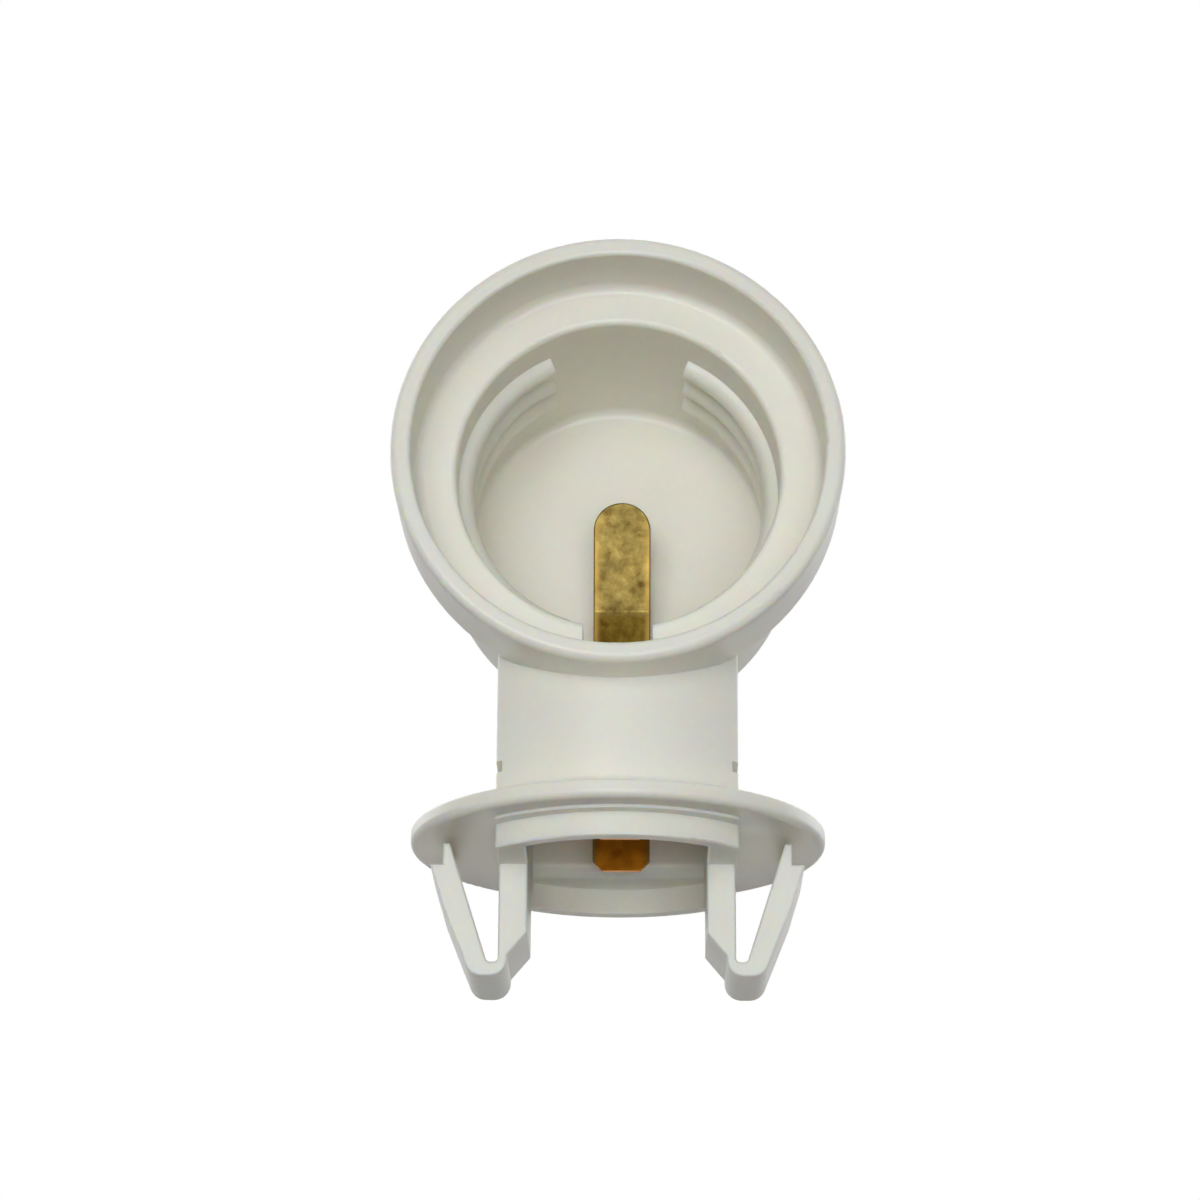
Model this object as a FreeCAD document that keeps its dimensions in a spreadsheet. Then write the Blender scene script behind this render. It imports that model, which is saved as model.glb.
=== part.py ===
"""Side-entry E27 lamp holder that snaps into a round panel hole, built as FreeCAD bodies in mm.

Frame: +Z up along the stem, lamp mouth towards -Y, X to the right.
Origin: centre of the flange's underside, the face that lies on the panel.
"""
import FreeCAD, Part
import math
import os
import Sketcher

DOC = FreeCAD.newDocument("lamp_holder")
SHEET = DOC.addObject("Spreadsheet::Sheet", "Params")

PARAMS = [
    # Cup, measured along the lamp axis from the rim plane.
    ("rim_radius", 18.5, "outside of the collar"),
    ("rim_edge", 0.7, "rounding of the rim's outer edge"),
    ("mouth_edge", 0.35, "rounding of the rim's inner edge"),
    ("collar_depth", 7.6, "length of the collar before the barrel"),
    ("collar_draft", 0.1, "how much narrower the collar is at its back"),
    ("rim_wall", 1.65, "wall round the recess in front of the thread"),
    ("recess_depth", 6.4, "rim plane to ledge"),
    ("bore_radius", 13.4, "root of the E27 thread"),
    ("bore_depth", 25.6, "rim plane to floor"),
    ("floor_wall", 1.5, "thickness behind the floor"),
    ("barrel_wall", 1.6, "wall round the bore"),
    ("floor_round", 0.85, "rounding between bore and floor"),
    ("ledge_round", 0.5, "rounding at the thread's mouth"),
    ("recess_round", 0.8, "hollow rounding between the recess and its ledge"),
    ("back_round", 0.5, "rounding of the collar's and the barrel's back edges"),
    # Thread.
    ("thread_pitch", 3.62, "E27 pitch"),
    ("crest_radius", 12.25, "crest of the E27 thread"),
    ("ridge_bead", 1.19, "radius of the round bead that makes the ridge"),
    ("thread_start", 10.2, "rim plane to the first ridge at the bottom of the bore"),
    ("thread_turns", 3.0, "turns of the ridge"),
    ("ridge_climb", 64.0, "each ridge runs this far above the sides, degrees"),
    ("ridge_fall", 71.0, "each ridge runs this far below the sides, degrees"),
    # Position of the cup over the flange.
    ("axis_height", 29.35, "panel face to lamp axis"),
    ("rim_forward", 18.0, "stem axis to rim plane"),
    # Stem, flange and spigot.
    ("stem_radius", 13.7, "front and back of the stem"),
    ("stem_half", 9.8, "half width of the stem"),
    ("stem_shy", 8.35, "lamp axis above the top of the stem's back"),
    ("stem_slope", 4.2, "slope at the top of the stem's back"),
    ("stem_corner", 0.6, "rounding of the stem's upright edges"),
    ("stem_wall", 1.3, "wall at the front and back of the stem and spigot, and beside the back pocket"),
    ("stem_root", 1.2, "fillet between stem and flange"),
    ("flange_radius", 17.2, "flange"),
    ("flange_thick", 1.5, "flange"),
    ("flange_round", 0.3, "rounding of the flange's upper edge"),
    ("flange_under", 0.6, "rounding of the flange's lower edge"),
    ("step_radius", 14.9, "small step under the flange"),
    ("step_height", 0.25, "small step under the flange"),
    ("spigot_drop", 2.2, "panel face to the spigot's lower edge"),
    ("hollow_front", 9.2, "front of the upper hollow, forward of the stem axis"),
    ("recess_roof", 1.7, "wall between the recess and the hollow below it"),
    ("channel_roof", 1.35, "wall between the bore's channel and the hollow below it"),
    ("web_round", 1.2, "rounding of the hollow's rear ceiling, at the web below the cup's floor"),
    ("pocket_floor", 2.8, "lower face of the pocket in the back of the stem"),
    ("pocket_roof", 1.35, "wall between the barrel and the pocket in the back of the stem"),
    ("notch_low", 4.1, "notch in the stem's sides, lower edge"),
    ("notch_high", 5.0, "notch in the stem's sides, upper edge"),
    ("notch_front", 10.6, "notch, forward of the stem axis"),
    ("notch_back", 6.6, "notch, forward of the stem axis"),
    ("notch_deep", 0.5, "notch, into the wall"),
    # Snap clips: x is the distance from the middle plane, drop is below the panel face.
    ("clip_half", 4.65, "half the clips' length along the lamp axis"),
    ("arm_in", 7.3, "inner arm, inner face, level with the side of the hollow"),
    ("arm_out", 9.65, "inner arm, outer face"),
    ("arm_rise", 0.5, "inner arm, top, above the panel face"),
    ("bevel_high", 7.9, "bevel on the inner arm, upper end, drop"),
    ("bevel_low", 9.8, "bevel on the inner arm, lower end, drop"),
    ("tip_in", 8.9, "tip, inner face"),
    ("tip_out", 11.9, "tip, outer face at the bottom"),
    ("tip_drop", 11.5, "tip, bottom, drop"),
    ("tip_round", 1.4, "rounding of the tip"),
    ("crook_x", 10.55, "bottom of the gap between the arms"),
    ("crook_drop", 10.3, "bottom of the gap between the arms, drop"),
    ("crook_round", 0.35, "rounding at the bottom of the gap"),
    ("shoulder_x", 15.3, "outer corner of the shoulder that holds the panel"),
    ("shoulder_drop", 2.2, "shoulder, drop, so the clips hold a panel of this thickness"),
    ("knee_x", 14.3, "outer face of the outer arm, half way"),
    ("knee_drop", 5.5, "outer face of the outer arm, half way, drop"),
    ("tongue_out", 14.25, "outer face of the clip's upper tongue"),
    ("tongue_in", 13.7, "inner face of the clip's upper tongue"),
    ("tongue_drop", 0.45, "top of the clip's upper tongue, drop"),
    ("inside_x", 12.4, "inner face of the outer arm, part way down"),
    ("inside_drop", 4.5, "inner face of the outer arm, part way down, drop"),
    ("clip_round", 0.2, "rounding of the clips' edges"),
    # Contacts.
    ("strip_width", 4.9, "contact strips"),
    ("blade_width", 4.8, "blades for push-on connectors"),
    ("strip_thick", 0.5, "contact strips"),
    ("barb", 0.13, "teeth on the strips' edges that hold them in their slots"),
    ("barb_low", 8.0, "lower tooth, above the panel face"),
    ("barb_pitch", 1.6, "lower tooth to upper tooth"),
    ("blade_bevel", 0.8, "corners of the blades' lower ends"),
    ("strip_round", 0.12, "rolled edge on the strip's long corners"),
    ("slot_gap", 0.15, "clearance in front of and behind a strip in its slot"),
    ("slot_play", 0.4, "clearance beside a strip in its slot"),
    ("sleeve_wall", 1.2, "plastic on each side of a slot"),
    ("sleeve_foot", 4.2, "lower face of the sleeves"),
    ("ear_width", 6.6, "stop on a strip under its sleeve"),
    ("ear_height", 1.2, "stop on a strip under its sleeve"),
    ("ear_gap", 0.1, "stop to sleeve"),
    ("contact_shift", 0.24, "play of both contacts in their slots, to the right"),
    ("centre_back", 3.8, "centre contact, middle of the strip behind the stem axis"),
    ("centre_foot", 0.6, "centre contact, end of the blade, drop"),
    ("centre_bend", 6.9, "centre contact, bend below the lamp axis"),
    ("centre_lean", 20.0, "centre contact, lean of the tongue, degrees"),
    ("centre_reach", 9.4, "centre contact, length of the tongue past the bend"),
    ("side_front", 5.1, "side contact, middle of the strip in front of the stem axis"),
    ("side_foot", 0.2, "side contact, end of the blade, drop"),
    ("side_rise", 13.0, "side contact, foot of the leaf below the lamp axis"),
    ("side_crown", 12.5, "side contact, crown of the leaf below the lamp axis"),
    ("channel_depth", 1.4, "channel in the bottom of the bore, in which the leaf is pressed down"),
    ("channel_room", 0.7, "channel behind the leaf's end"),
    ("side_run", 3.0, "side contact, foot to crown and crown to end"),
]


class Size:
    """A number together with the sheet expression that gives it."""

    def __init__(self, value, text):
        self.value = value
        self.text = text

    def _join(self, sign, other, result):
        text = other.text if isinstance(other, Size) else repr(float(other))
        return Size(result, "(%s %s %s)" % (self.text, sign, text))

    def __add__(self, other):
        return self._join("+", other, self.value + number(other))

    def __sub__(self, other):
        return self._join("-", other, self.value - number(other))

    def __mul__(self, other):
        return self._join("*", other, self.value * number(other))

    def __neg__(self):
        return Size(-self.value, "(0 - %s)" % self.text)


def number(size):
    """The plain value of a Size or a number."""
    return size.value if isinstance(size, Size) else float(size)


def sine(angle):
    """Sine of a Size in degrees."""
    return Size(math.sin(math.radians(angle.value)), "sin(%s * 1 deg)" % angle.text)


def cosine(angle):
    """Cosine of a Size in degrees."""
    return Size(math.cos(math.radians(angle.value)), "cos(%s * 1 deg)" % angle.text)


def tangent_half(angle):
    """Tangent of half of a Size in degrees."""
    return Size(math.tan(math.radians(angle.value) / 2), "tan(%s * 0.5 deg)" % angle.text)


def fill_sheet():
    """Write every parameter to the sheet and return them as Sizes by name."""
    sizes = {}
    for row, (name, value, note) in enumerate(PARAMS, start=1):
        SHEET.set("A%d" % row, name)
        SHEET.set("B%d" % row, str(value))
        SHEET.set("C%d" % row, note)
        SHEET.setAlias("B%d" % row, name)
        sizes[name] = Size(value, "Params.%s" % name)
    DOC.recompute()
    return sizes


P = fill_sheet()
OVERRUN = 1.0  # how far a cut runs on past the face it opens
ROOT = 0.2  # how far a sleeve or a tooth runs into what carries it


def bind(obj, prop, size):
    """Set a length property by its sheet expression."""
    setattr(obj, prop, abs(number(size)))
    obj.setExpression(prop, size.text if isinstance(size, Size) else None)


def new_body(label):
    """A PartDesign body with its own label."""
    body = DOC.addObject("PartDesign::Body", label)
    body.Label = label
    return body


def new_sketch(body, plane, name, offset=None):
    """A sketch on one of the body's origin planes, shifted along the plane's normal."""
    sketch = body.newObject("Sketcher::SketchObject", name)
    for feature in body.Origin.OriginFeatures:
        if feature.Role == plane:
            sketch.AttachmentSupport = [(feature, "")]
    sketch.MapMode = "FlatFace"
    if offset is not None:
        sketch.AttachmentOffset = FreeCAD.Placement(
            FreeCAD.Vector(0, 0, number(offset)), FreeCAD.Rotation())
        sketch.setExpression("AttachmentOffset.Base.z", offset.text)
    return sketch


def pin(sketch, kind, geometry, vertex, size):
    """Hold one coordinate of a point, with a constraint that can't take a negative sign flip."""
    if abs(number(size)) < 1e-9:
        axis = -2 if kind == "DistanceX" else -1
        sketch.addConstraint(Sketcher.Constraint("PointOnObject", geometry, vertex, axis))
        return
    index = sketch.addConstraint(Sketcher.Constraint(kind, -1, 1, geometry, vertex, number(size)))
    sketch.setExpression("Constraints[%d]" % index, size.text)


def polygon(sketch, points):
    """A closed loop of straight lines through points given as pairs of Sizes."""
    first = sketch.GeometryCount
    count = len(points)
    ends = [FreeCAD.Vector(number(x), number(y), 0) for x, y in points]
    for index in range(count):
        sketch.addGeometry(Part.LineSegment(ends[index], ends[(index + 1) % count]), False)
    for index in range(count):
        following = first + (index + 1) % count
        sketch.addConstraint(Sketcher.Constraint("Coincident", first + index, 2, following, 1))
    for index, (x, y) in enumerate(points):
        pin(sketch, "DistanceX", first + index, 1, x)
        pin(sketch, "DistanceY", first + index, 1, y)
    return first


def rectangle(sketch, low_x, high_x, low_y, high_y):
    """A rectangle between four Sizes."""
    return polygon(sketch, [(low_x, low_y), (high_x, low_y), (high_x, high_y), (low_x, high_y)])


def circle(sketch, radius, centre=None):
    """A circle round the sketch's origin, or round a centre given as a pair of Sizes."""
    place = FreeCAD.Vector() if centre is None else FreeCAD.Vector(number(centre[0]), number(centre[1]), 0)
    index = sketch.addGeometry(Part.Circle(place, FreeCAD.Vector(0, 0, 1), number(radius)), False)
    if centre is None:
        sketch.addConstraint(Sketcher.Constraint("Coincident", index, 3, -1, 1))
    else:
        pin(sketch, "DistanceX", index, 3, centre[0])
        pin(sketch, "DistanceY", index, 3, centre[1])
    rule = sketch.addConstraint(Sketcher.Constraint("Radius", index, number(radius)))
    sketch.setExpression("Constraints[%d]" % rule, radius.text)


def outline(sketch, radius, half, low=None, high=None):
    """A disc cut off straight at both sides, and also at low or high where those are given."""
    reach = math.sqrt(number(radius) ** 2 - number(half) ** 2)
    corner = math.atan2(reach, number(half))
    low_y = -reach if low is None else number(low)
    high_y = reach if high is None else number(high)
    left_x, right_x = -number(half), number(half)
    left = sketch.addGeometry(Part.LineSegment(FreeCAD.Vector(left_x, high_y, 0),
                                               FreeCAD.Vector(left_x, low_y, 0)), False)
    right = sketch.addGeometry(Part.LineSegment(FreeCAD.Vector(right_x, low_y, 0),
                                                FreeCAD.Vector(right_x, high_y, 0)), False)
    disc = Part.Circle(FreeCAD.Vector(), FreeCAD.Vector(0, 0, 1), number(radius))
    for before, after, plane, turn in ((left, right, low, math.pi), (right, left, high, 0.0)):
        if plane is None:
            end = sketch.addGeometry(Part.ArcOfCircle(disc, turn + corner, turn + math.pi - corner), False)
            sketch.addConstraint(Sketcher.Constraint("Coincident", end, 3, -1, 1))
            rule = sketch.addConstraint(Sketcher.Constraint("Radius", end, number(radius)))
            sketch.setExpression("Constraints[%d]" % rule, radius.text)
        else:
            start_x = number(half) if before == right else -number(half)
            end = sketch.addGeometry(Part.LineSegment(FreeCAD.Vector(start_x, number(plane), 0),
                                                      FreeCAD.Vector(-start_x, number(plane), 0)), False)
            sketch.addConstraint(Sketcher.Constraint("Horizontal", end))
            pin(sketch, "DistanceY", end, 1, plane)
        sketch.addConstraint(Sketcher.Constraint("Coincident", before, 2, end, 1))
        sketch.addConstraint(Sketcher.Constraint("Coincident", end, 2, after, 1))
    sketch.addConstraint(Sketcher.Constraint("Vertical", left))
    sketch.addConstraint(Sketcher.Constraint("Vertical", right))
    pin(sketch, "DistanceX", left, 1, -half)
    pin(sketch, "DistanceX", right, 1, half)


def lamp_axis(sketch):
    """A construction line along the lamp axis, in a sketch on the YZ plane."""
    line = sketch.addGeometry(Part.LineSegment(FreeCAD.Vector(-30, P["axis_height"].value, 0),
                                               FreeCAD.Vector(30, P["axis_height"].value, 0)), True)
    sketch.addConstraint(Sketcher.Constraint("Horizontal", line))
    pin(sketch, "DistanceX", line, 1, Size(-30.0, "-30"))
    pin(sketch, "DistanceX", line, 2, Size(30.0, "30"))
    pin(sketch, "DistanceY", line, 1, P["axis_height"])


def extrude(body, kind, sketch, length, upward=True, both=False):
    """A Pad or Pocket. upward is along the sketch's normal."""
    feature = body.newObject("PartDesign::" + kind, kind + "_" + sketch.Name)
    feature.Profile = sketch
    bind(feature, "Length", length)
    if both:
        feature.SideType = "Symmetric"
    feature.Reversed = upward if kind == "Pocket" else not upward
    sketch.Visibility = False
    DOC.recompute()
    return feature


def spin(body, kind, sketch):
    """A Revolution or Groove round the sketch's construction line."""
    feature = body.newObject("PartDesign::" + kind, kind + "_" + sketch.Name)
    feature.Profile = sketch
    feature.ReferenceAxis = (sketch, ["Axis0"])
    feature.Angle = 360.0
    sketch.Visibility = False
    DOC.recompute()
    return feature


def soften(body, size, chosen, name, kind="Fillet"):
    """Round or bevel the edges of the body's last feature for which chosen(edge) is true."""
    base = body.Tip
    names = ["Edge%d" % (index + 1) for index, edge in enumerate(base.Shape.Edges) if chosen(edge)]
    feature = body.newObject("PartDesign::" + kind, name)
    feature.Base = (base, names)
    bind(feature, "Radius" if kind == "Fillet" else "Size", size)
    DOC.recompute()
    if "Invalid" in feature.State or not names:
        raise RuntimeError("%s failed on %d edges" % (name, len(names)))
    return feature


def near(value, target, gap=0.02):
    """True if two lengths agree."""
    return abs(value - number(target)) < gap


def middle(edge):
    """The point half way along an edge."""
    return edge.valueAt(0.5 * (edge.FirstParameter + edge.LastParameter))


def along(edge, direction):
    """True for a straight edge parallel to a direction."""
    if not isinstance(edge.Curve, Part.Line):
        return False
    return abs(abs(edge.Curve.Direction.dot(direction)) - 1.0) < 1e-6


def is_ring(edge, radius, y):
    """True for a circle round the lamp axis, at a given place along it."""
    if not isinstance(edge.Curve, Part.Circle):
        return False
    centre = edge.Curve.Center
    return (near(edge.Curve.Radius, radius) and near(centre.y, y) and near(centre.x, 0)
            and near(centre.z, P["axis_height"]))


RIM_Y = -P["rim_forward"]
FLOOR_Y = RIM_Y + P["bore_depth"]
LEDGE_Y = RIM_Y + P["recess_depth"]
BARREL_RADIUS = P["bore_radius"] + P["barrel_wall"]
COLLAR_RADIUS = P["rim_radius"] - P["collar_draft"]
RECESS_RADIUS = P["rim_radius"] - P["rim_wall"]
HOLLOW_HALF = P["arm_in"]
HOLLOW_RADIUS = P["stem_radius"] - P["stem_wall"]
CHANNEL_FOOT = P["axis_height"] - P["bore_radius"] - P["channel_depth"]
HOLLOW_LOW = P["axis_height"] - RECESS_RADIUS - P["recess_roof"]
HOLLOW_TOP = CHANNEL_FOOT - P["channel_roof"]
POCKET_HALF = P["stem_half"] - P["stem_wall"]
POCKET_TOP = P["axis_height"] - BARREL_RADIUS - P["pocket_roof"]
STEM_TOP = P["axis_height"] - P["stem_shy"]


def above_axis(radius):
    """Height of a point that far above the lamp axis."""
    return P["axis_height"] + radius


def build_outside(body):
    """Flange, stem, spigot and the outside of the cup."""
    flange = new_sketch(body, "XY_Plane", "flange")
    circle(flange, P["flange_radius"])
    extrude(body, "Pad", flange, P["flange_thick"])
    step = new_sketch(body, "XY_Plane", "step")
    outline(step, P["step_radius"], P["stem_half"])
    extrude(body, "Pad", step, P["step_height"], upward=False)
    spigot = new_sketch(body, "XY_Plane", "spigot")
    outline(spigot, P["stem_radius"], P["stem_half"])
    extrude(body, "Pad", spigot, P["spigot_drop"], upward=False)
    stem = new_sketch(body, "XY_Plane", "stem")
    outline(stem, P["stem_radius"], P["stem_half"])
    extrude(body, "Pad", stem, STEM_TOP)
    cup = new_sketch(body, "YZ_Plane", "cup")
    lamp_axis(cup)
    back = FLOOR_Y + P["floor_wall"]
    collar = RIM_Y + P["collar_depth"]
    polygon(cup, [(RIM_Y, P["axis_height"]), (RIM_Y, above_axis(P["rim_radius"])),
                  (collar, above_axis(COLLAR_RADIUS)), (collar, above_axis(BARREL_RADIUS)),
                  (back, above_axis(BARREL_RADIUS)), (back, P["axis_height"])])
    spin(body, "Revolution", cup)
    slope = new_sketch(body, "YZ_Plane", "slope")
    low = STEM_TOP - P["stem_slope"]
    polygon(slope, [(P["stem_radius"] + 1.0, low - 1.0), (P["stem_radius"] + 1.0, STEM_TOP + 1.0),
                    (P["stem_radius"] - P["stem_slope"] - 1.0, STEM_TOP + 1.0)])
    extrude(body, "Pocket", slope, P["stem_half"] * 4, both=True)


def build_cavity(body):
    """The cup's recess and bore, the hollow of the stem, and the pocket in the stem's back."""
    cavity = new_sketch(body, "YZ_Plane", "cavity")
    lamp_axis(cavity)
    polygon(cavity, [(RIM_Y - 1.0, P["axis_height"]), (RIM_Y - 1.0, above_axis(RECESS_RADIUS)),
                     (LEDGE_Y, above_axis(RECESS_RADIUS)), (LEDGE_Y, above_axis(P["bore_radius"])),
                     (FLOOR_Y, above_axis(P["bore_radius"])), (FLOOR_Y, P["axis_height"])])
    spin(body, "Groove", cavity)
    mouth = new_sketch(body, "XY_Plane", "mouth", -P["spigot_drop"])
    outline(mouth, HOLLOW_RADIUS, HOLLOW_HALF)
    extrude(body, "Pocket", mouth, P["spigot_drop"])
    front = new_sketch(body, "XY_Plane", "front_chamber")
    outline(front, HOLLOW_RADIUS, HOLLOW_HALF, high=FLOOR_Y)
    extrude(body, "Pocket", front, HOLLOW_LOW)
    upper = new_sketch(body, "XY_Plane", "upper_chamber", HOLLOW_LOW)
    rectangle(upper, -HOLLOW_HALF, HOLLOW_HALF, -P["hollow_front"], FLOOR_Y)
    extrude(body, "Pocket", upper, HOLLOW_TOP - HOLLOW_LOW)
    pocket = new_sketch(body, "XY_Plane", "back_pocket", P["pocket_floor"])
    rectangle(pocket, -POCKET_HALF, POCKET_HALF, FLOOR_Y + P["floor_wall"], P["stem_radius"] + OVERRUN)
    extrude(body, "Pocket", pocket, POCKET_TOP - P["pocket_floor"])


def build_seats(body):
    """Sleeves that guide the two strips, and their slots."""
    guard = P["strip_thick"] * 0.5 + P["slot_gap"]
    slot_half = P["strip_width"] * 0.5 + P["slot_play"]
    slot_top = P["axis_height"] - P["crest_radius"]
    for name, place in (("centre", P["centre_back"]), ("side", -P["side_front"])):
        sleeve = new_sketch(body, "XY_Plane", name + "_sleeve", P["sleeve_foot"])
        rectangle(sleeve, -HOLLOW_HALF - ROOT, HOLLOW_HALF + ROOT,
                  place - guard - P["sleeve_wall"], place + guard + P["sleeve_wall"])
        extrude(body, "Pad", sleeve, HOLLOW_TOP + ROOT - P["sleeve_foot"])
    for name, place in (("centre", P["centre_back"]), ("side", -P["side_front"])):
        slot = new_sketch(body, "XY_Plane", name + "_slot", P["sleeve_foot"])
        rectangle(slot, -slot_half, slot_half, place - guard, place + guard)
        extrude(body, "Pocket", slot, slot_top - P["sleeve_foot"])


def build_channel(body):
    """A channel along the bottom of the bore, open at the ledge, for the side contact's leaf."""
    half = P["strip_width"] * 0.5 + P["slot_play"]
    channel = new_sketch(body, "XY_Plane", "channel", CHANNEL_FOOT)
    rectangle(channel, -half, half, LEDGE_Y - OVERRUN, P["side_run"] * 2 - P["side_front"] + P["channel_room"])
    extrude(body, "Pocket", channel, P["channel_depth"] + P["bore_radius"] - P["crest_radius"])


def soften_body(body):
    """Round the edges that the eye and the hand meet."""
    z_dir = FreeCAD.Vector(0, 0, 1)
    slope_foot = STEM_TOP - P["stem_slope"]

    def stem_corner(edge):
        point = middle(edge)
        return along(edge, z_dir) and near(abs(point.x), P["stem_half"]) and point.z < number(slope_foot)

    soften(body, P["stem_corner"], stem_corner, "stem_corners")

    def stem_root(edge):
        point = middle(edge)
        return near(point.z, P["flange_thick"]) and math.hypot(point.x, point.y) < number(P["step_radius"])

    soften(body, P["stem_root"], stem_root, "stem_roots")
    for height, size, name in ((P["flange_thick"], P["flange_round"], "flange_top"),
                               (Size(0.0, "0"), P["flange_under"], "flange_bottom")):
        def flange_edge(edge):
            point = middle(edge)
            return near(point.z, height) and near(math.hypot(point.x, point.y), P["flange_radius"])

        soften(body, size, flange_edge, name)
    rings = [
        (P["rim_radius"], RIM_Y, P["rim_edge"], "rim_outside"),
        (RECESS_RADIUS, RIM_Y, P["mouth_edge"], "rim_inside"),
        (RECESS_RADIUS, LEDGE_Y, P["recess_round"], "recess_corner"),
        (P["bore_radius"], LEDGE_Y, P["ledge_round"], "bore_mouth"),
        (P["bore_radius"], FLOOR_Y, P["floor_round"], "floor_corner"),
        (COLLAR_RADIUS, RIM_Y + P["collar_depth"], P["back_round"], "collar_back"),
        (BARREL_RADIUS, FLOOR_Y + P["floor_wall"], P["back_round"], "barrel_back")]
    for radius, place, size, name in rings:
        soften(body, size, lambda edge: is_ring(edge, radius, place), name)

    def web_edge(edge):
        point = middle(edge)
        return near(point.z, 0) and near(point.y, FLOOR_Y) and edge.Length > number(HOLLOW_HALF)

    soften(body, P["web_round"], web_edge, "web_corner")

    def spigot_end(edge):
        return near(middle(edge).z, -P["spigot_drop"])

    soften(body, P["clip_round"], spigot_end, "spigot_edges")


def build_clip(body):
    """One snap clip, drawn for the right side."""
    profile = new_sketch(body, "XZ_Plane", "clip")
    polygon(profile, [
        (P["arm_in"], P["arm_rise"]), (P["arm_in"], -P["bevel_high"]), (P["tip_in"], -P["bevel_low"]),
        (P["tip_in"], -P["tip_drop"]), (P["tip_out"], -P["tip_drop"]), (P["knee_x"], -P["knee_drop"]),
        (P["shoulder_x"], -P["shoulder_drop"]), (P["tongue_out"], -P["shoulder_drop"]),
        (P["tongue_out"], -P["tongue_drop"]), (P["tongue_in"], -P["tongue_drop"]),
        (P["inside_x"], -P["inside_drop"]), (P["crook_x"], -P["crook_drop"]),
        (P["arm_out"], -P["crook_drop"]), (P["arm_out"], P["arm_rise"])])
    extrude(body, "Pad", profile, P["clip_half"] * 2, both=True)
    y_dir = FreeCAD.Vector(0, 1, 0)

    def at_drop(edge, drop, low_x, high_x):
        point = middle(edge)
        return along(edge, y_dir) and near(point.z, -drop) and low_x - 0.01 < point.x < high_x + 0.01

    def tip(edge):
        return at_drop(edge, P["tip_drop"], P["tip_in"].value, P["tip_out"].value)

    def crook(edge):
        return at_drop(edge, P["crook_drop"], P["arm_out"].value, P["crook_x"].value)

    soften(body, P["tip_round"], tip, "tip_rounds")
    soften(body, P["crook_round"], crook, "crook_rounds")

    def face_edge(edge):
        return near(abs(middle(edge).y), P["clip_half"]) and not along(edge, y_dir)

    soften(body, P["clip_round"], face_edge, "clip_edges")


def build_coil(body):
    """The ridge of the thread, before it is cut into the parts at the two sides."""
    profile = new_sketch(body, "YZ_Plane", "ridge")
    lamp_axis(profile)
    circle(profile, P["ridge_bead"], (RIM_Y + P["thread_start"],
                                      P["axis_height"] - P["crest_radius"] - P["ridge_bead"]))
    coil = body.newObject("PartDesign::AdditiveHelix", "coil")
    coil.Profile = profile
    coil.ReferenceAxis = (profile, ["Axis0"])
    coil.Mode = "pitch-turns-angle"
    bind(coil, "Pitch", P["thread_pitch"])
    bind(coil, "Turns", P["thread_turns"])
    coil.Angle = 0.0
    profile.Visibility = False
    DOC.recompute()


def build_sides(body):
    """Two wedges that keep the thread at the sides and leave the top and bottom plain."""
    wedges = new_sketch(body, "XZ_Plane", "wedges")
    near_end, far_end = P["crest_radius"] * 0.6, P["bore_radius"] * 2
    fall, climb = P["ridge_fall"], P["ridge_climb"]
    for side in (-1.0, 1.0):
        corners = [(far_end * side, P["axis_height"])]
        for radius, angle, turn in ((far_end, climb, 1.0), (near_end, climb, 1.0),
                                    (near_end, fall, -1.0), (far_end, fall, -1.0)):
            corners.append((cosine(angle) * radius * side, above_axis(sine(angle) * radius * turn)))
        polygon(wedges, corners)
    extrude(body, "Pad", wedges, P["bore_depth"] * 3, both=True)


def build_notches(body):
    """A shallow notch low on each side of the stem."""
    for name, side in (("left_notch", -1.0), ("right_notch", 1.0)):
        notch = new_sketch(body, "YZ_Plane", name, P["stem_half"] * side)
        rectangle(notch, -P["notch_front"], -P["notch_back"], P["notch_low"], P["notch_high"])
        extrude(body, "Pocket", notch, P["notch_deep"], upward=side < 0)


def trim_strip(body, name, foot):
    """Narrow the blade below the stop, add the stop and the teeth, and bevel the blade's end."""
    ear_top = P["sleeve_foot"] - P["ear_gap"]
    ear_foot = ear_top - P["ear_height"]
    place = P["centre_back"] if name == "centre" else -P["side_front"]
    strip_half = P["strip_width"] * 0.5
    blade_half = P["blade_width"] * 0.5
    ears = new_sketch(body, "XZ_Plane", name + "_ears", -place)
    rectangle(ears, -P["ear_width"] * 0.5, P["ear_width"] * 0.5, ear_foot, ear_top)
    extrude(body, "Pad", ears, P["strip_thick"], both=True)
    teeth = new_sketch(body, "XZ_Plane", name + "_teeth", -place)
    for side in (-1.0, 1.0):
        for step in (0.0, 1.0):
            low = P["barb_low"] + P["barb_pitch"] * step
            polygon(teeth, [((strip_half - ROOT) * side, low), ((strip_half + P["barb"]) * side, low),
                            ((strip_half - ROOT) * side, low + P["barb_pitch"] * 0.8)])
    extrude(body, "Pad", teeth, P["strip_thick"], both=True)
    shaved = new_sketch(body, "XZ_Plane", name + "_shaved", -place)
    for side in (-1.0, 1.0):
        polygon(shaved, [(blade_half * side, foot - 1.0), ((strip_half + 1.0) * side, foot - 1.0),
                         ((strip_half + 1.0) * side, ear_foot), (blade_half * side, ear_foot)])
    extrude(body, "Pocket", shaved, P["strip_thick"] * 4, both=True)
    y_dir = FreeCAD.Vector(0, 1, 0)

    def blade_corner(edge):
        return along(edge, y_dir) and near(middle(edge).z, foot)

    soften(body, P["blade_bevel"], blade_corner, name + "_blade_end", kind="Chamfer")


def roll_edges(body, name):
    """Round the long corners of a strip."""
    half = P["strip_width"].value * 0.5

    def long_corner(edge):
        return near(abs(middle(edge).x), half) and isinstance(edge.Curve, Part.Line) and edge.Length > 2.0

    soften(body, P["strip_round"], long_corner, name + "_rolled")


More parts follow.
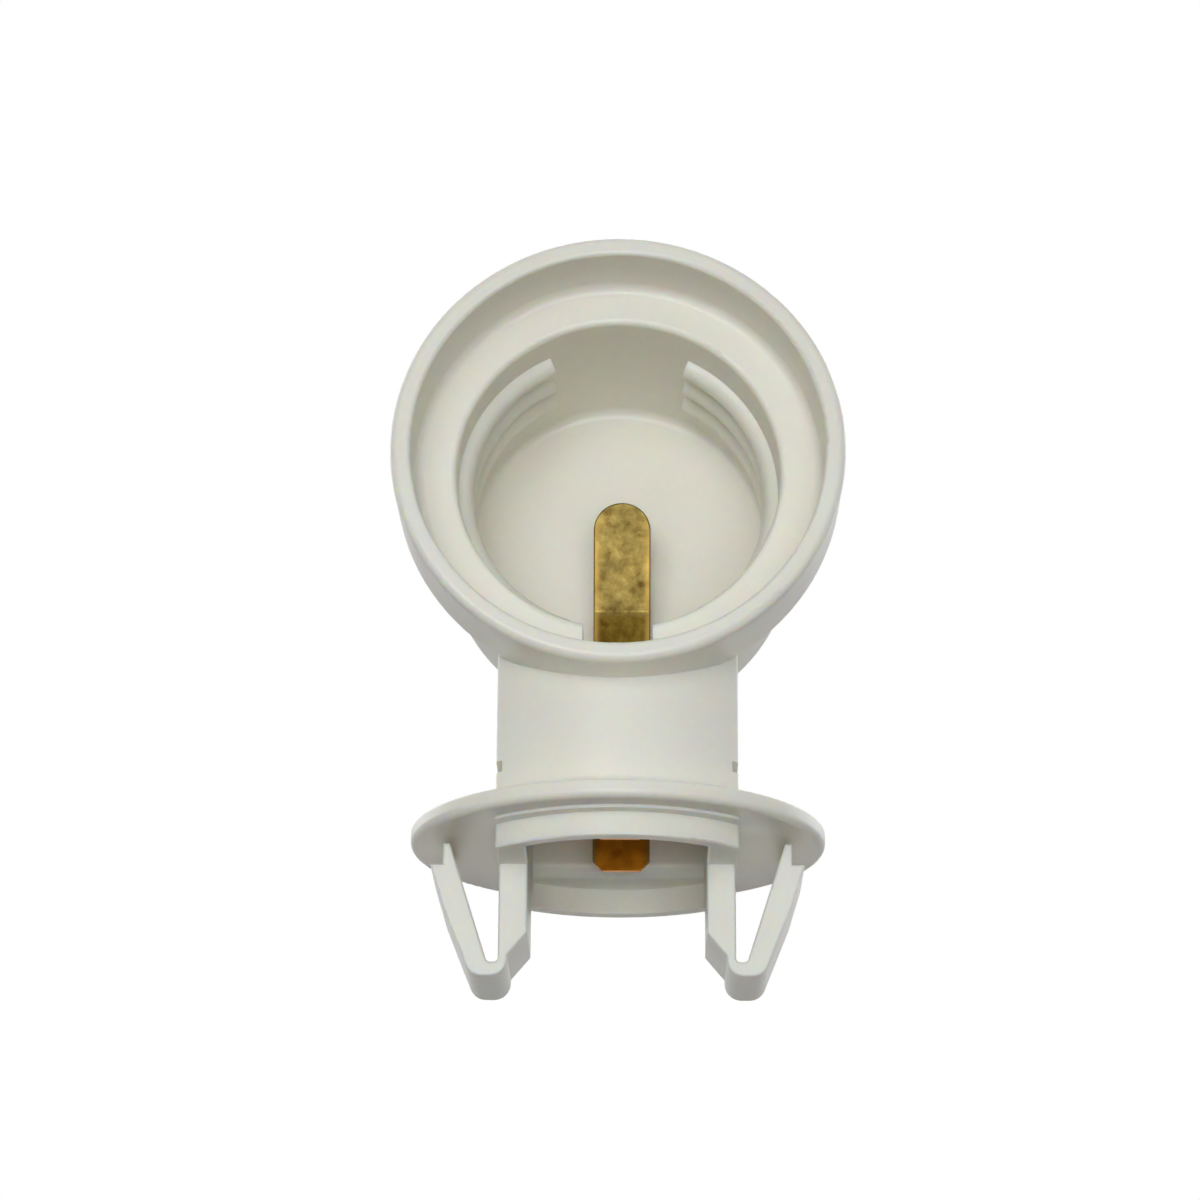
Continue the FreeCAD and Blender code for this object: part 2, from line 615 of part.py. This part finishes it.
def build_centre(body):
    """Centre contact: a straight strip whose upper end leans out to meet the lamp."""
    half = P["strip_thick"] * 0.5
    lean = P["centre_lean"]
    run, rise = sine(lean), cosine(lean)
    middle_y = P["centre_back"]
    bend = P["axis_height"] - P["centre_bend"]
    mitre = half * tangent_half(lean)
    tip_y = middle_y - run * P["centre_reach"]
    tip_z = bend + rise * P["centre_reach"]
    foot = -P["centre_foot"]
    strip = new_sketch(body, "YZ_Plane", "centre_strip")
    polygon(strip, [
        (middle_y - half, foot), (middle_y + half, foot), (middle_y + half, bend + mitre),
        (tip_y + rise * half, tip_z + run * half), (tip_y - rise * half, tip_z - run * half),
        (middle_y - half, bend - mitre)])
    extrude(body, "Pad", strip, P["strip_width"], both=True)
    normal = FreeCAD.Vector(0, rise.value, run.value)

    def tip_corner(edge):
        return along(edge, normal) and middle(edge).z > tip_z.value - 1.0

    soften(body, P["strip_width"] * 0.49, tip_corner, "centre_tip")
    x_dir = FreeCAD.Vector(1, 0, 0)

    def bend_edge(edge):
        return along(edge, x_dir) and near(middle(edge).z, bend, 0.2)

    soften(body, P["strip_thick"], bend_edge, "centre_bend")
    trim_strip(body, "centre", foot)
    roll_edges(body, "centre")


def build_side(body):
    """Side contact: a strip that ends in a low bowed leaf along the bottom of the bore."""
    half = P["strip_thick"] * 0.5
    middle_y = -P["side_front"]
    rise = P["axis_height"] - P["side_rise"]
    crown = P["axis_height"] - P["side_crown"]
    crown_y = middle_y + P["side_run"]
    end_y = crown_y + P["side_run"]
    foot = -P["side_foot"]
    strip = new_sketch(body, "YZ_Plane", "side_strip")
    polygon(strip, [
        (middle_y - half, foot), (middle_y + half, foot), (middle_y + half, rise - half),
        (crown_y, crown - half), (end_y, rise - half), (end_y, rise + half),
        (crown_y, crown + half), (middle_y - half, rise + half)])
    extrude(body, "Pad", strip, P["strip_width"], both=True)
    x_dir = FreeCAD.Vector(1, 0, 0)

    def heel(edge):
        point = middle(edge)
        return along(edge, x_dir) and near(point.z, rise + half) and near(point.y, middle_y - half)

    soften(body, P["strip_thick"] * 1.2, heel, "side_heel")

    def inner_heel(edge):
        point = middle(edge)
        return along(edge, x_dir) and near(point.z, rise - half) and near(point.y, middle_y + half)

    soften(body, P["strip_thick"] * 0.4, inner_heel, "side_inner_heel")

    def crest(edge):
        return along(edge, x_dir) and near(middle(edge).y, crown_y)

    soften(body, P["strip_thick"] * 2, crest, "side_crest")
    trim_strip(body, "side", foot)
    roll_edges(body, "side")


def join(label, kind, first, others):
    """A boolean of whole objects, with its own label."""
    result = DOC.addObject("Part::" + kind, label)
    result.Label = label
    result.Shapes = [first] + others
    result.Refine = True
    DOC.recompute()
    return result


def mirror_left(source, label):
    """The same shape on the other side of the middle plane."""
    copy = DOC.addObject("Part::Mirroring", label)
    copy.Label = label
    copy.Source = source
    copy.Normal = FreeCAD.Vector(1, 0, 0)
    DOC.recompute()
    return copy


def build_housing():
    """The one-piece moulding."""
    main = new_body("housing_body")
    build_outside(main)
    build_cavity(main)
    build_seats(main)
    soften_body(main)
    build_channel(main)
    build_notches(main)
    clip = new_body("clip_right")
    build_clip(clip)
    coil = new_body("thread_coil")
    build_coil(coil)
    sides = new_body("thread_sides")
    build_sides(sides)
    ridges = join("thread_ridges", "MultiCommon", coil, [sides])
    return join("housing", "MultiFuse", main, [clip, mirror_left(clip, "clip_left"), ridges])


def check_document():
    """Stop if any object failed or has a bad shape."""
    for item in DOC.Objects:
        if "Invalid" in item.State or "Error" in item.State:
            raise RuntimeError("%s: %s" % (item.Label, item.State))
        if hasattr(item, "Shape") and item.isDerivedFrom("Part::Feature"):
            sketch = item.isDerivedFrom("Sketcher::SketchObject")
            if item.Shape.isNull() or not (sketch or item.Shape.isValid()):
                raise RuntimeError("%s has a bad shape" % item.Label)


HOUSING = build_housing()
CENTRE = new_body("centre_contact")
build_centre(CENTRE)
SIDE = new_body("side_contact")
build_side(SIDE)
for contact in (CENTRE, SIDE):
    contact.Placement.Base.x = number(P["contact_shift"])
    contact.setExpression(".Placement.Base.x", P["contact_shift"].text)
DOC.recompute()
check_document()
os.makedirs("parts", exist_ok=True)
for node in (HOUSING, CENTRE, SIDE):
    node.Shape.exportStep("parts/%s.step" % node.Label)
    print("%-15s %d solid  %8.2f mm3" % (node.Label, len(node.Shape.Solids), node.Shape.Volume))
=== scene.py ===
"""Looks for the snap-in E27 lamp holder: moulded ivory plastic, tarnished brass with a painted shade below
its bend and a painted highlight on its edges, studio light.
"""
import math

import bpy
from mathutils import Matrix, Vector

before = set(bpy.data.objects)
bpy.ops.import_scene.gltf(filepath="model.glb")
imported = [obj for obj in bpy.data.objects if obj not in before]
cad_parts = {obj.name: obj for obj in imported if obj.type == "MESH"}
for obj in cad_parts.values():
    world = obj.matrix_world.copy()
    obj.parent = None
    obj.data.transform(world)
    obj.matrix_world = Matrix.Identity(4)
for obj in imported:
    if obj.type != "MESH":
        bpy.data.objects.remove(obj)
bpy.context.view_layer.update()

MM = 0.001

# Camera, in the object's own frame: it looks up at the holder from below the flange.
CAMERA_PLACE = Vector((2.26, -275.1, -73.3)) * MM
CAMERA_YAW = -0.807
CAMERA_PITCH = 19.148
CAMERA_ROLL = 0.364
CAMERA_LENS = 102.5
SENSOR = 36.0

# Stage: a floor far below, pale to the camera and in reflections, dim in what it gives back to the holder.
FLOOR_HEIGHT = -0.90
FLOOR_HALF = 6.0
FLOOR_COLOUR = (0.86, 0.86, 0.85, 1.0)
FLOOR_BOUNCE = (0.16, 0.16, 0.15, 1.0)
FLOOR_GLOW = 0.70

# Surround: brightest above and dimmest below.
ROOM_STRENGTH = 0.40
ROOM_HORIZON = 0.55
ROOM_BELOW = (0.50, 0.49, 0.45, 1.0)
ROOM_LEVEL = (0.75, 0.76, 0.77, 1.0)
ROOM_ABOVE = (1.0, 1.0, 1.0, 1.0)
LAMP_COLOUR = (0.97, 0.985, 1.08)
LAMP_AIM = (0.0, 0.0, 0.02)
# name, place in metres, size in metres, power in watts
LAMPS = (("key", (-0.16, -0.88, 0.02), 0.40, 2.2),
         ("front", (0.08, -0.88, -0.16), 0.40, 2.2),
         ("low", (-0.10, -0.65, -0.55), 0.60, 0.15),
         ("back_left", (-0.75, 0.65, 0.45), 0.70, 2.6),
         ("back_right", (0.75, 0.65, 0.35), 0.70, 2.6))


# Plastic: how far light goes into it, by colour, and the swell and grain of its skin.
SCATTER_WEIGHT = 0.75
SCATTER_RADIUS = (1.0, 0.62, 0.22)
SCATTER_DEPTH = 0.9 * MM
PLASTIC_IOR = 1.5
PLASTIC_SPECULAR = 0.45
SWELL_HEIGHT = 0.02 * MM
GRAIN_HEIGHT = 0.004 * MM

# Brass: the rolling lines, much longer than they are wide, and the dents.
ROLLING_STRETCH = (9000.0, 9000.0, 260.0)
ROLLING_HEIGHT = 0.006 * MM
DENT_HEIGHT = 0.03 * MM
# Painted highlight: the bright gold colour laid along the strip's long edges.
EDGE_HIGHLIGHT_COLOUR = (0.25, 0.160, 0.038, 1.0)

# Where the brass colour changes, in the strip's own coordinates: blade, the painted shade (dark umber) on the
# strip above it up to the bend, bend, the painted highlight on the edges.
BLADE_TOP = 3.0 * MM
PAINTED_SHADE_FROM = 8.0 * MM
BEND_LOW = 21.6 * MM
BEND_HIGH = 22.6 * MM
STRIP_MIDDLE = 0.24 * MM
# The painted edge highlight fades in between these distances from the strip's middle.
EDGE_HIGHLIGHT_FROM = 1.75 * MM
EDGE_HIGHLIGHT_TO = 2.4 * MM


def new_material(name):
    """A node material, its tree and its Principled shader."""
    material = bpy.data.materials.new(name)
    material.use_nodes = True
    tree = material.node_tree
    return material, tree, tree.nodes["Principled BSDF"]


def add_node(tree, kind, inputs=None, **settings):
    """A node with its settings and the values of its unlinked inputs."""
    node = tree.nodes.new(kind)
    for key, value in settings.items():
        setattr(node, key, value)
    for key, value in (inputs or {}).items():
        node.inputs[key].default_value = value
    return node


def object_coordinates(tree):
    """Coordinates in metres that are fixed to the object."""
    return add_node(tree, "ShaderNodeTexCoord").outputs["Object"]


def noise(tree, place, scale, detail=3.0, roughness=0.5):
    """A noise texture at a given number of cells per metre."""
    node = add_node(tree, "ShaderNodeTexNoise", {"Scale": scale, "Detail": detail, "Roughness": roughness})
    tree.links.new(place, node.inputs["Vector"])
    return node.outputs["Fac"]


def ramp(tree, source, stops):
    """A colour ramp through (position, colour) stops."""
    node = add_node(tree, "ShaderNodeValToRGB")
    elements = node.color_ramp.elements
    while len(elements) < len(stops):
        elements.new(0.5)
    for element, (position, colour) in zip(elements, stops):
        element.position = position
        element.color = colour if len(colour) == 4 else tuple(colour) + (1.0,)
    tree.links.new(source, node.inputs["Fac"])
    return node.outputs["Color"]


def spread(tree, source, low, high):
    """Map a texture's 0..1 to low..high."""
    limits = {"From Min": 0.25, "From Max": 0.75, "To Min": low, "To Max": high}
    node = add_node(tree, "ShaderNodeMapRange", limits)
    tree.links.new(source, node.inputs["Value"])
    return node.outputs["Result"]


def step(tree, source, low, high):
    """A soft step from 0 at low to 1 at high."""
    limits = {"From Min": low, "From Max": high}
    node = add_node(tree, "ShaderNodeMapRange", limits, interpolation_type="SMOOTHSTEP")
    tree.links.new(source, node.inputs["Value"])
    return node.outputs["Result"]


def blend_colours(tree, factor, first, second):
    """The first colour at factor 0 and the second at 1."""
    node = add_node(tree, "ShaderNodeMix", data_type="RGBA")
    tree.links.new(factor, node.inputs["Factor"])
    for name, colour in (("A", first), ("B", second)):
        socket = next(s for s in node.inputs if s.name == name and s.type == "RGBA")
        tree.links.new(colour, socket)
    return next(s for s in node.outputs if s.type == "RGBA")


def ivory_plastic():
    """Satin moulded thermoplastic: slightly translucent, faintly clouded, with a fine surface grain."""
    material, tree, shader = new_material("ivory_plastic")
    place = object_coordinates(tree)
    cloud = noise(tree, place, 90.0, 2.0)
    colour = ramp(tree, cloud, [(0.3, (0.880, 0.868, 0.745)), (0.7, (0.900, 0.892, 0.785))])
    tree.links.new(colour, shader.inputs["Base Color"])
    tree.links.new(spread(tree, noise(tree, place, 350.0, 4.0), 0.30, 0.40), shader.inputs["Roughness"])
    shader.inputs["Subsurface Weight"].default_value = SCATTER_WEIGHT
    shader.inputs["Subsurface Radius"].default_value = SCATTER_RADIUS
    shader.inputs["Subsurface Scale"].default_value = SCATTER_DEPTH
    shader.inputs["IOR"].default_value = PLASTIC_IOR
    shader.inputs["Specular IOR Level"].default_value = PLASTIC_SPECULAR
    swell = add_node(tree, "ShaderNodeBump", {"Strength": 0.25, "Distance": SWELL_HEIGHT})
    tree.links.new(noise(tree, place, 180.0, 2.0), swell.inputs["Height"])
    grain = add_node(tree, "ShaderNodeBump", {"Strength": 0.3, "Distance": GRAIN_HEIGHT})
    tree.links.new(noise(tree, place, 4200.0, 2.0), grain.inputs["Height"])
    tree.links.new(swell.outputs["Normal"], grain.inputs["Normal"])
    tree.links.new(grain.outputs["Normal"], shader.inputs["Normal"])
    return material


def brass_tarnish_and_painted_shade():
    """Rolled brass strip: golden tongue, dark umber painted shade on the stem below the bend, orange-brown
    blade, painted highlight on the edges, fine rolling lines.
    """
    material, tree, shader = new_material("brass_tarnish_and_painted_shade")
    place = object_coordinates(tree)
    mottle = noise(tree, place, 900.0, 6.0, 0.68)
    golden = ramp(tree, mottle, [(0.30, (0.070, 0.041, 0.010)), (0.45, (0.132, 0.094, 0.024)),
                                 (0.60, (0.175, 0.128, 0.036)), (0.75, (0.25, 0.19, 0.07))])
    # Painted shade: dark umber for the strip below the bend, standing in for its dim reflections of the cup's
    # inside.
    painted_shade_below_bend = ramp(tree, mottle, [(0.30, (0.040, 0.014, 0.001)), (0.50, (0.085, 0.052, 0.007)),
                                (0.75, (0.14, 0.095, 0.016))])
    orange = ramp(tree, mottle, [(0.30, (0.33, 0.115, 0.008)), (0.75, (0.56, 0.22, 0.013))])
    axes = add_node(tree, "ShaderNodeSeparateXYZ")
    tree.links.new(place, axes.inputs["Vector"])
    # Painted shade: the orange blade blends up into the dark umber below the bend.
    blade_to_painted_shade = blend_colours(tree, step(tree, axes.outputs["Z"], BLADE_TOP, PAINTED_SHADE_FROM), orange, painted_shade_below_bend)
    face = blend_colours(tree, step(tree, axes.outputs["Z"], BEND_LOW, BEND_HIGH), blade_to_painted_shade, golden)
    side = add_node(tree, "ShaderNodeMath", {1: STRIP_MIDDLE}, operation="SUBTRACT")
    tree.links.new(axes.outputs["X"], side.inputs[0])
    out = add_node(tree, "ShaderNodeMath", operation="ABSOLUTE")
    tree.links.new(side.outputs["Value"], out.inputs[0])
    # Painted highlight: a bright gold band along both long edges of the strip, in place of the shine on its
    # rounded edges.
    painted_edge_highlight = add_node(tree, "ShaderNodeRGB")
    painted_edge_highlight.outputs["Color"].default_value = EDGE_HIGHLIGHT_COLOUR
    edge = step(tree, out.outputs["Value"], EDGE_HIGHLIGHT_FROM, EDGE_HIGHLIGHT_TO)
    colour = blend_colours(tree, edge, face, painted_edge_highlight.outputs["Color"])
    tree.links.new(colour, shader.inputs["Base Color"])
    shader.inputs["Metallic"].default_value = 1.0
    tree.links.new(spread(tree, noise(tree, place, 700.0, 4.0), 0.30, 0.55), shader.inputs["Roughness"])
    stretch = add_node(tree, "ShaderNodeMapping")
    stretch.inputs["Scale"].default_value = ROLLING_STRETCH
    tree.links.new(place, stretch.inputs["Vector"])
    lines = noise(tree, stretch.outputs["Vector"], 1.0, 2.0)
    bump = add_node(tree, "ShaderNodeBump", {"Strength": 0.25, "Distance": ROLLING_HEIGHT})
    tree.links.new(lines, bump.inputs["Height"])
    dents = add_node(tree, "ShaderNodeBump", {"Strength": 0.5, "Distance": DENT_HEIGHT})
    tree.links.new(noise(tree, place, 900.0, 3.0), dents.inputs["Height"])
    tree.links.new(bump.outputs["Normal"], dents.inputs["Normal"])
    tree.links.new(dents.outputs["Normal"], shader.inputs["Normal"])
    return material


def dress_nodes():
    """Give every CAD node its material."""
    plastic = ivory_plastic()
    brass = brass_tarnish_and_painted_shade()
    for name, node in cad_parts.items():
        chosen = plastic if name == "housing" else brass
        if not node.material_slots:
            node.data.materials.append(chosen)
        for slot in node.material_slots:
            slot.material = chosen


def background_rays(tree):
    """1 for the rays that should see the pale background: from the camera, a reflection or glass."""
    path = add_node(tree, "ShaderNodeLightPath")
    total = path.outputs["Is Camera Ray"]
    for kind in ("Is Glossy Ray", "Is Transmission Ray"):
        either = add_node(tree, "ShaderNodeMath", operation="MAXIMUM")
        tree.links.new(total, either.inputs[0])
        tree.links.new(path.outputs[kind], either.inputs[1])
        total = either.outputs["Value"]
    return total


def build_stage():
    """A pale floor well below the holder."""
    mesh = bpy.data.meshes.new("floor")
    signs = ((-1, -1), (1, -1), (1, 1), (-1, 1))
    corners = [(x * FLOOR_HALF, y * FLOOR_HALF, FLOOR_HEIGHT) for x, y in signs]
    mesh.from_pydata(corners, [], [(0, 1, 2, 3)])
    floor = bpy.data.objects.new("floor", mesh)
    bpy.context.collection.objects.link(floor)
    material, tree, shader = new_material("floor_pale")
    tones = []
    for tone in (FLOOR_BOUNCE, FLOOR_COLOUR):
        node = add_node(tree, "ShaderNodeRGB")
        node.outputs["Color"].default_value = tone
        tones.append(node.outputs["Color"])
    tree.links.new(blend_colours(tree, background_rays(tree), *tones), shader.inputs["Base Color"])
    shader.inputs["Roughness"].default_value = 0.9
    glow = add_node(tree, "ShaderNodeMath", {1: FLOOR_GLOW}, operation="MULTIPLY")
    tree.links.new(background_rays(tree), glow.inputs[0])
    shader.inputs["Emission Color"].default_value = (1.0, 1.0, 1.0, 1.0)
    tree.links.new(glow.outputs["Value"], shader.inputs["Emission Strength"])
    mesh.materials.append(material)


def add_lamp(name, place, size, power):
    """A square soft box at a place, aimed at the holder."""
    light = bpy.data.lights.new(name, "AREA")
    light.size = size
    light.energy = power
    light.color = LAMP_COLOUR
    lamp = bpy.data.objects.new(name, light)
    lamp.location = place
    lamp.rotation_euler = (Vector(LAMP_AIM) - Vector(place)).to_track_quat("-Z", "Y").to_euler()
    bpy.context.collection.objects.link(lamp)


def build_light():
    """Soft light into the cup from the front, softer from behind, in a surround that is dimmer below."""
    for name, place, size, power in LAMPS:
        add_lamp(name, place, size, power)
    world = bpy.data.worlds.new("studio")
    bpy.context.scene.world = world
    world.use_nodes = True
    tree = world.node_tree
    room = tree.nodes["Background"]
    split = add_node(tree, "ShaderNodeSeparateXYZ")
    tree.links.new(add_node(tree, "ShaderNodeTexCoord").outputs["Generated"], split.inputs["Vector"])
    shade = ramp(tree, split.outputs["Z"], [(0.0, ROOM_BELOW), (ROOM_HORIZON, ROOM_LEVEL), (1.0, ROOM_ABOVE)])
    tree.links.new(shade, room.inputs["Color"])
    room.inputs["Strength"].default_value = ROOM_STRENGTH
    seen = add_node(tree, "ShaderNodeBackground", {"Color": (1.0, 1.0, 1.0, 1.0), "Strength": 1.0})
    mix = add_node(tree, "ShaderNodeMixShader")
    tree.links.new(background_rays(tree), mix.inputs["Fac"])
    tree.links.new(room.outputs["Background"], mix.inputs[1])
    tree.links.new(seen.outputs["Background"], mix.inputs[2])
    tree.links.new(mix.outputs["Shader"], tree.nodes["World Output"].inputs["Surface"])


def build_camera():
    """The camera, from yaw, pitch and roll in degrees."""
    data = bpy.data.cameras.new("camera")
    data.lens = CAMERA_LENS
    data.sensor_width = SENSOR
    data.clip_start = 0.01
    data.clip_end = 20.0
    yaw, pitch, roll = (math.radians(angle) for angle in (CAMERA_YAW, CAMERA_PITCH, CAMERA_ROLL))
    forward = Vector((math.sin(yaw) * math.cos(pitch), math.cos(yaw) * math.cos(pitch), math.sin(pitch)))
    side = forward.cross(Vector((0.0, 0.0, 1.0))).normalized()
    upward = side.cross(forward)
    side, upward = (side * math.cos(roll) + upward * math.sin(roll),
                    upward * math.cos(roll) - side * math.sin(roll))
    turn = Matrix((side, upward, -forward)).transposed()
    camera = bpy.data.objects.new("camera", data)
    camera.matrix_world = Matrix.Translation(CAMERA_PLACE) @ turn.to_4x4()
    bpy.context.collection.objects.link(camera)
    bpy.context.scene.camera = camera


dress_nodes()
build_stage()
build_light()
build_camera()
bpy.context.scene.view_settings.view_transform = "Standard"
